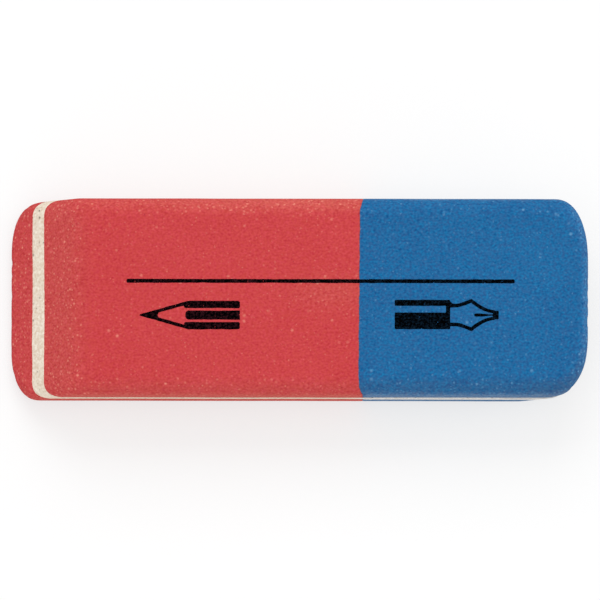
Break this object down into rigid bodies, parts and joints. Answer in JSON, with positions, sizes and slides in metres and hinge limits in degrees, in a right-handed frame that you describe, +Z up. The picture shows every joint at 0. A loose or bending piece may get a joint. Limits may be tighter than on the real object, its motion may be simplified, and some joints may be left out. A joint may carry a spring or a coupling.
{
  "type": "two-sided eraser",
  "caption": "Slanted rubber block eraser, red for pencil at one end and blue for ink at the other, with a pale core sheet bonded between the coloured layers.",
  "frame": {"origin": "on the flat bottom face, under the middle of the block's box", "axes": "+X along the length towards the blue end, +Y across the width, +Z up through the layers"},
  "size_m": [0.058, 0.02, 0.008],
  "materials": {
    "red_rubber": "matt, fine-grained natural rubber with pale filler specks",
    "blue_rubber": "matt, gritty natural rubber with pale abrasive specks",
    "core_rubber": "matt, cream-coloured rubber with a few grey specks"
  },
  "bodies": {
    "root": {"red_upper_layer": "red_rubber", "blue_upper_layer": "blue_rubber", "core_sheet": "core_rubber", "red_lower_layer": "red_rubber", "blue_lower_layer": "blue_rubber"}
  },
  "joints": []
}
